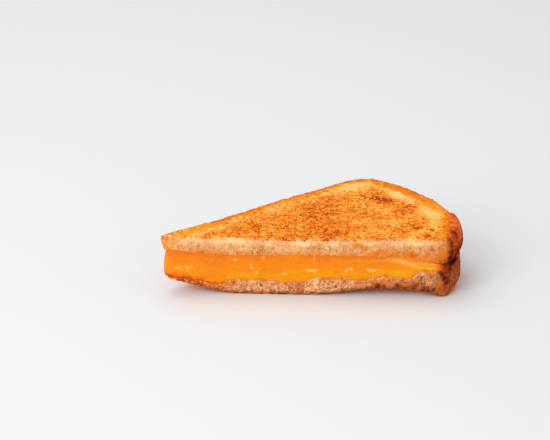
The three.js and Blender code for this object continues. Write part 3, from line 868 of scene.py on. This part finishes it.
cheese = {
    "columns": 420,
    "faceSteps": 44,
    "faceCrowding": 0.4,
    "topSteps": 20,
    "innerSteps": 6,
    "seed": 500,
    "belly": 1.1,  # how far it stands proud of a line from foot to head
    "foot": -0.3,  # the same along its bottom edge, where it clings
    "head": -0.05,  # and along its top edge, on the upper slice's crumb
    "creep": [
        (0, 0.5), (10, 0.6), (18, 0.85), (24, 0.4), (29.6, -0.05), (36.5, 0.1), (45.7, 0.2), (59.5, 0.42),
        (77.8, 0.3), (87, 0.7), (93.8, 0.6), (102, 0.6), (110, 0.8), (117, 0.6), (123.6, 0), (130.5, -0.7),
    ],
    "recess": 2.2,  # how far in from the crust the cheese stops
    "shoulderRecess": 0.7,  # the same in the pinch at the right end
    "sink": 0.5,  # it has melted this far into the bread
    "lobe": (130.4, 2, 0.9),  # a tongue at the right end: its middle, half width and extra thickness
    # pale blisters, partly painted highlights: x, z, width, height, strength
    "blisters": [
        (7.8, 13.1, 1, 0.4, 0.8), (12.5, 13.1, 0.5, 0.5, 0.8), (14.3, 13.8, 0.4, 0.5, 0.7),
        (12.3, 11.5, 0.4, 0.4, 0.7), (11.2, 14.2, 0.4, 0.5, 0.6), (10, 12.6, 0.4, 0.4, 0.5),
        (9.2, 14, 0.4, 0.3, 0.6), (13.5, 12.2, 0.3, 0.3, 0.6), (19.8, 12, 1.2, 0.25, 0.5),
        (23.1, 17, 0.7, 0.35, 0.6), (34.2, 17.1, 0.6, 0.5, 0.7), (41.6, 14.1, 0.4, 0.9, 0.8),
        (42.6, 13.2, 0.4, 0.5, 0.6), (44.3, 11, 0.6, 0.5, 0.8), (47.1, 17.9, 0.3, 0.7, 0.7),
        (37.4, 9.6, 0.8, 0.5, 0.6), (54.4, 10.4, 0.4, 0.5, 0.6), (57.3, 10.9, 0.6, 0.6, 0.8),
        (62.2, 18.2, 0.3, 0.5, 0.6), (69.5, 12.6, 1.8, 0.55, 1), (70.7, 18.2, 0.25, 0.8, 0.7),
        (70.5, 16.4, 0.35, 0.4, 0.6), (85.6, 12.5, 0.4, 0.8, 0.8), (87.2, 13.9, 0.5, 0.5, 0.8),
        (88.1, 13, 0.4, 0.5, 0.7), (84.3, 10.9, 0.3, 0.5, 0.6), (97.2, 13, 1.4, 0.5, 1),
        (95.6, 13.7, 1.2, 0.3, 0.7), (99.9, 13.6, 0.5, 0.3, 0.6), (108.6, 12.3, 0.7, 0.35, 0.6),
        (109.5, 14.6, 0.4, 0.4, 0.5), (110.9, 12.1, 0.4, 0.3, 0.5),
    ],
    # pale drawn folds, partly painted highlights: (x, height) points, half width, strength, where along x
    # they fade in and out
    "folds": [
        (
            [(102, 18.4), (108, 17.8), (112, 17), (117, 15.8), (120, 15.2), (127, 15)],
            1, 0.75, (101, 112), (116, 120),
        ),
        ([(112, 16.8), (120, 16.5), (127, 16.3), (131, 15.9)], 0.32, 0.6, (113, 118), (128, 131)),
        ([(115, 15.1), (121, 14.6), (127, 14.5)], 0.28, 0.7, (115, 119), (125, 128)),
        ([(80, 17.2), (95, 17.6), (108, 17.4)], 0.5, 0.2, (80, 90), (100, 108)),
    ],
    "specks": 40,
    "speckSeed": 41,
    # yellow low down to a deeper orange painted as shade up under the upper slice
    "colours": [
        (0, (246, 160, 2)), (0.25, (243, 149, 4)), (0.55, (239, 136, 4)), (0.8, (236, 129, 7)),
        (1, (230, 118, 11)),
    ],
    "noises": [(9, 3, 0.5, (0.45, 1, 1)), (0.6, 2, 0.5), (1.6, 3, 0.6, (0.6, 1, 1))],  # wide, fine, mottled
    # the pale cheese on blisters, specks and folds, partly a painted highlight
    "creamColour": (255, 192, 104),
    "scorchColours": ((220, 98, 22), (140, 54, 18)),  # first reddish, then brown: singeing at the left, painted shade at the right end
    # painted dark shade in the pinch between the crusts
    "charColour": (70, 14, 8),
    "bumps": {"Strength": 0.25, "Distance": 0.0002},
    "subsurface": (0.3, (1, 0.45, 0.08), 0.0025),
}


def cheeseRings():
    # rings like a slice's, but also up and down inside the melted edge; the outer face is a slope from foot
    # to head plus the belly times a half sine
    seed, sink = cheese["seed"], cheese["sink"]
    shares = crowded(cheese["columns"], half["tipCrowding"])
    lobeAt, lobeWidth, lobeHeight = cheese["lobe"]

    def top(places):
        return upperUnderside(places) + sink

    def underside(places):
        return lowerTop(places) - sink

    def face(line, side):
        at, normal = pathAt(line, shares, side)
        x = at[:, 0]
        along = np.stack([x, 0 * x, 0 * x], -1)
        run = 1 - (smooth(x, 131, 132.8) if side < 0 else smooth(x, 5, 26))
        forward, hang = smooth(run, 0, 0.4), smooth(run, 0.6, 1)
        ripple = 0.22 * waves(along, 9, seed + 1, 2)
        lobe = lobeHeight * bell(x, lobeAt, lobeWidth) if side < 0 else 0 * x
        loose = np.maximum(fade(x, 24, 34), bell(x, lobeAt, lobeWidth))  # where its bottom edge hangs free
        inPinch = smooth(x, 130, 132) * fade(at[:, 1], 10, 25)
        recess = mixed(cheese["recess"], cheese["shoulderRecess"], inPinch)
        foot = mixed(-recess, mixed(cheese["foot"], 0.7, loose), forward)
        head = mixed(-recess, cheese["head"], forward)
        belly = mixed(0.5, cheese["belly"] + ripple + lobe, forward)
        wallOut = mixed(-recess, -1, forward)

        def placeAt(out):
            return at + normal * out[:, None]

        ragged = waves(along, 2.2, seed + 2, 3, 0.7)
        creep = valueAlong(cheese["creep"], x) + 0.8 * waves(along, 5, seed + 3, 4, 0.75)
        high = top(placeAt(head)) + forward * creep
        seat = underside(placeAt(wallOut))
        edge = valueAlong(half["lipBottom"], x) + 1.2 * ragged * (1 - loose)
        low = mixed(seat, np.minimum(seat, edge), hang)
        rise = crowded(cheese["faceSteps"], cheese["faceCrowding"])[None]
        swelling = np.sin(np.pi * rise**0.85) ** mixed(0.55, 0.75, rise)
        out = mixed(foot[:, None], head[:, None], rise) + belly[:, None] * swelling
        outer = np.concatenate([
            at[:, None] + normal[:, None] * out[..., None],
            mixed(low[:, None], high[:, None], rise)[..., None],
        ], -1)
        climb = np.linspace(0, 1, cheese["innerSteps"] + 1)[1:]
        inner = np.concatenate([
            np.repeat(placeAt(wallOut)[:, None], cheese["innerSteps"], 1),
            mixed(low[:, None], seat[:, None], climb)[..., None],
        ], -1)
        return outer, inner

    frontOuter, frontInner = face(lowerOutline["front"], -1)
    backOuter, backInner = face(lowerOutline["back"], 1)
    return np.concatenate([
        frontOuter,
        strip(frontOuter[:, -1], backOuter[:, -1], cheese["topSteps"], top),
        backOuter[:, ::-1],
        backInner,
        strip(backInner[:, -1], frontInner[:, -1], cheese["topSteps"], underside),
        frontInner[:, ::-1],
    ], 1)


def cheesePiece(name):
    # the rings, moved along their normals on the cut face by long ripples, drawn folds, blisters and dimples
    seed, rings = cheese["seed"], cheeseRings()
    normals = ringNormals(rings)
    x, y, z = np.moveaxis(rings, -1, 0)
    onFace = smooth(-normals[..., 1], 0.05, 0.5) * smooth(3.5 - y, 0, 1.5)
    ripples = waves(rings * np.array([0.16, 1, 1]), 2.6, seed + 10, 2)
    swell = waves(rings, 11, seed + 20, 2, 0.45)
    fold = 0 * x
    for line, width, strength, (rise0, rise1), (fall0, fall1) in cheese["folds"]:
        shown = smooth(x, rise0, rise1) * fade(x, fall0, fall1)
        fold = np.maximum(fold, strength * shown * bell(z, valueAlong(line, x), width))
    generator = np.random.default_rng(cheese["speckSeed"])
    specks = []
    for _ in range(cheese["specks"]):
        middle, size = generator.uniform((2, 8.5), (126, 17)), generator.uniform(0.15, 0.4, 2)
        specks.append((*middle, *size, generator.uniform(0.15, 0.5)))
    blister = 0 * x
    ragged = waves(rings, 0.7, seed + 30, 2)
    for atX, atZ, width, height, strength in cheese["blisters"] + specks:
        blister = np.maximum(blister, strength * bell(x, atX, 1.6 * width) * bell(z, atZ, 1.5 * height))
    blister = smooth(blister * (1 + 0.6 * ragged), 0.1, 0.9)
    dimples = pits(rings, 1.6, seed + 40, 0.25, (0.2, 0.4))

    relief = onFace * (0.2 * swell + 0.14 * ripples + 0.16 * fold + 0.15 * blister - 0.14 * dimples)
    rings = rings + normals * (relief * fadedEnds(rings))[..., None]
    # painted shade: the share of the way up the cut face, deeper in the shade under the upper slice
    bottom = valueAlong(half["lipBottom"], x)
    level = (z - bottom) / (upperUnderside(rings[..., :2]) + 0.6 - bottom)
    level = mixed(np.maximum(level, 0.5), level, smooth(x, 18, 34)) - 0.3 * smooth(x, 92, 112)
    # singed along the bottom edge at the left; painted shade at the right end and dark painted shade in the
    # pinch
    mottle = ragged + 1.4 * waves(rings, 2.2, seed + 50, 2)
    singedTo = 1.6 + 2.2 * fade(x, 10, 24)
    singed = fade(x, 26, 33) * fade(z - bottom + 0.9 * mottle, -0.2, singedTo)
    # painted shade where the cheese sits deep in the pinch
    pinched = smooth(x + 0.4 * ragged, 128.5, 130.5) * smooth(z + 0.4 * ragged, 15.6, 17)
    return ringMesh(
        name, rings,
        # pale blisters, specks and folds, partly painted highlights
        cream=np.clip(np.maximum(blister, fold), 0, 1) * onFace,
        level=np.clip(level, 0, 1),
        scorch=np.maximum(smooth(x + 0.5 * ragged, 125, 131), 0.75 * singed) * smooth(3.5 - y, -2, 1.5),
        char=np.maximum(pinched, smooth(x, 131.8, 133)) * fade(y, 9, 22),
    )


def cheeseMaterial(name):
    material, tree, shader = newMaterial(name)
    wide, fine, mottled = (noiseOf(tree, *noise) for noise in cheese["noises"])
    # painted shade: deeper orange up in the shade under the bread, yellower lower down
    factor = spread(mask(tree, "level"), (wide, 1.2), (mottled, 0.8), (fine, 0.5))
    colour = rampOf(factor, cheese["colours"])
    # pale blisters, specks and folds, partly painted highlights
    cream = calc("MULTIPLY", mask(tree, "cream"), 0.9)
    colour = blend(cream, colour, cheese["creamColour"])
    scorch, char = mask(tree, "scorch"), mask(tree, "char")
    # singeing at the left and painted shade at the right end
    colour = blendInStages(scorch, 1.6, colour, cheese["scorchColours"])
    # painted dark shade in the pinch
    colour = blend(char, colour, cheese["charColour"])
    rough = spread(0.36, (fine, 0.25))
    shine = scaled(calc("MAXIMUM", char, scorch), -0.15, 0.15)
    dress(shader, cheese, colour, rough, shine, noiseOf(tree, 1.4, 3, 0.55))
    return material


meltedCheese = cheesePiece("meltedCheese")
meltedCheese.data.materials.append(cheeseMaterial("cheddar"))
print("cheese made")

for piece, node, slotName in (
    (upperToast, "upper_slice", "toasted_bread"),
    (lowerToast, "lower_slice", "toasted_bread"),
    (meltedCheese, "cheese", "melted_cheese"),
):
    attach(piece, "root")
    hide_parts(node)

# studio

studio = {
    "azimuth": 2.5,  # degrees to the right of straight on
    "elevation": 20,
    "distance": 0.9,
    "lens": 128.4,
    "aim": (52.36, 4.82, 34.9),  # the point that the camera looks at
    "floorColour": (232, 231, 229),
    "floorRough": 0.8,
    "floorSize": 6,
    "skyColour": (240, 243, 248),
    "skyStrength": 0.8,
    # name, place, size, power
    "lamps": [
        ("softTop", (-0.25, 0.35, 0.95), 0.8, 2.5),
        ("softFront", (-0.55, -0.85, 0.55), 0.7, 6),
    ],
}


def makeFloor():
    side = studio["floorSize"] / 2
    mesh = bpy.data.meshes.new("floor")
    corners = [(-side, -side, 0), (side, -side, 0), (side, side, 0), (-side, side, 0)]
    mesh.from_pydata(corners, [], [(0, 1, 2, 3)])
    material, _, shader = newMaterial("paleFloor")
    feed(shader, {"Base Color": linear(studio["floorColour"]), "Roughness": studio["floorRough"]})
    mesh.materials.append(material)
    placed("floor", mesh)


def makeLamps():
    world = bpy.data.worlds.new("sky")
    bpy.context.scene.world = world
    world.use_nodes = True
    sky = world.node_tree.nodes["Background"]
    feed(sky, {"Color": linear(studio["skyColour"]), "Strength": studio["skyStrength"]})
    for name, place, size, power in studio["lamps"]:
        light = bpy.data.lights.new(name, "AREA")
        light.size = size
        light.energy = power
        lamp = placed(name, light)
        lamp.location = place
        lamp.rotation_euler = (-Vector(place)).to_track_quat("-Z", "Y").to_euler()


def makeCamera():
    a, e = math.radians(studio["azimuth"]), math.radians(studio["elevation"])
    back = Vector((math.sin(a) * math.cos(e), -math.cos(a) * math.cos(e), math.sin(e)))
    data = bpy.data.cameras.new("camera")
    data.lens = studio["lens"]
    camera = placed("camera", data)
    camera.location = Vector(toFrame(np.array(studio["aim"]))) + back * studio["distance"]
    camera.rotation_euler = (-back).to_track_quat("-Z", "Y").to_euler()
    bpy.context.scene.camera = camera


makeFloor()
makeLamps()
makeCamera()
bpy.context.scene.view_settings.view_transform = "Standard"
print("studio made")
